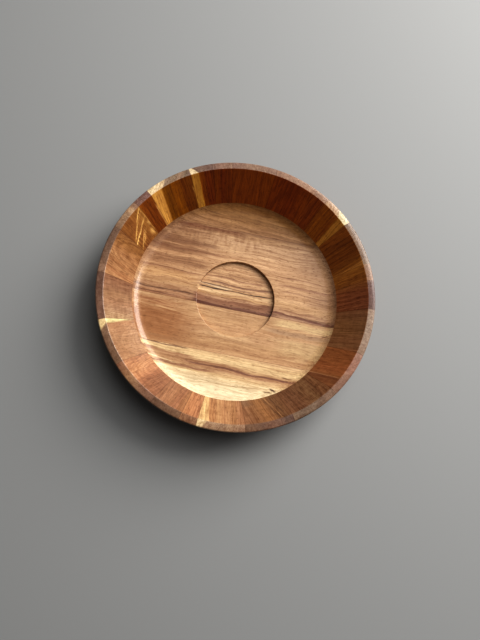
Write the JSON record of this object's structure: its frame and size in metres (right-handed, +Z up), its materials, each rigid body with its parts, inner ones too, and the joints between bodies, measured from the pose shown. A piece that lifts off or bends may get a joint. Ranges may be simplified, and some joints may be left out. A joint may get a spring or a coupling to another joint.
{
  "type": "chip and dip server",
  "caption": "Shallow flared wooden serving bowl made of glued staves around a planked floor, with a round recess that keeps a dip cup central.",
  "frame": {"origin": "centre of the foot, on the surface that the bowl stands on", "axes": "+Z up along the axis of the bowl, out of its mouth; +X along the grain and the seams of the floor planks"},
  "size_m": [0.3048, 0.3048, 0.0508],
  "materials": {
    "acacia_dark": "satin clear lacquer over dark red-brown heartwood",
    "acacia_brown": "satin clear lacquer over mid-brown heartwood with a sapwood edge",
    "acacia_red": "satin clear lacquer over reddish heartwood",
    "acacia_golden": "satin clear lacquer over golden-brown heartwood",
    "acacia_orange": "satin clear lacquer over orange-brown heartwood",
    "acacia_tan": "satin clear lacquer over light orange-tan heartwood",
    "acacia_cream": "satin clear lacquer over cream sapwood with dark purple-brown streaks"
  },
  "bodies": {
    "root": {"floor_plank_1": "acacia_cream", "floor_plank_2": "acacia_orange", "floor_plank_3": "acacia_tan", "floor_plank_4": "acacia_tan", "stave_01a": "acacia_dark", "stave_01b": "acacia_golden", "stave_02": "acacia_dark", "stave_03a": "acacia_brown", "stave_03b": "acacia_dark", "stave_04": "acacia_dark", "stave_05": "acacia_dark", "stave_06a": "acacia_brown", "stave_06b": "acacia_dark", "stave_07": "acacia_brown", "stave_08a": "acacia_dark", "stave_08b": "acacia_orange", "stave_09": "acacia_tan", "stave_10": "acacia_tan", "stave_11": "acacia_tan", "stave_12": "acacia_orange", "stave_13a": "acacia_orange", "stave_13b": "acacia_red", "stave_14": "acacia_tan", "stave_15": "acacia_brown", "stave_16": "acacia_brown", "stave_17": "acacia_red", "stave_18": "acacia_golden"}
  },
  "joints": []
}
